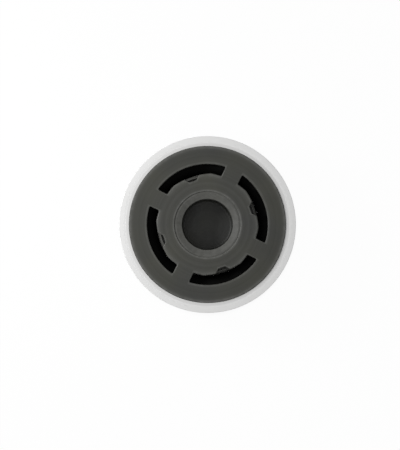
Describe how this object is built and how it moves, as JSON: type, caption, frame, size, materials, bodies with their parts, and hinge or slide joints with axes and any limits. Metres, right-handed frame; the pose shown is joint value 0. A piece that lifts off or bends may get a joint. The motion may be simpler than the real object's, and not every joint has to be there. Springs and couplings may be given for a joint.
{
  "type": "flow regulator",
  "caption": "Round flow regulator insert: pale flanged housing with a finned inlet, dark core with curved slots and a lobed hub, and a rubber ring that throttles the water between them.",
  "frame": {"origin": "centre of the inlet end, on the axis of the regulator", "axes": "+Z along the axis from the inlet end to the outlet face, +X through the middle of one slot"},
  "size_m": [0.0186, 0.0186, 0.0063],
  "materials": {
    "pale_housing": "milky, slightly translucent, satin",
    "dark_core": "satin dark grey with faint turning marks",
    "black_rubber": "matte black"
  },
  "bodies": {
    "root": {"housing": "pale_housing", "regulator_core": "dark_core", "control_ring": "black_rubber"}
  },
  "joints": []
}
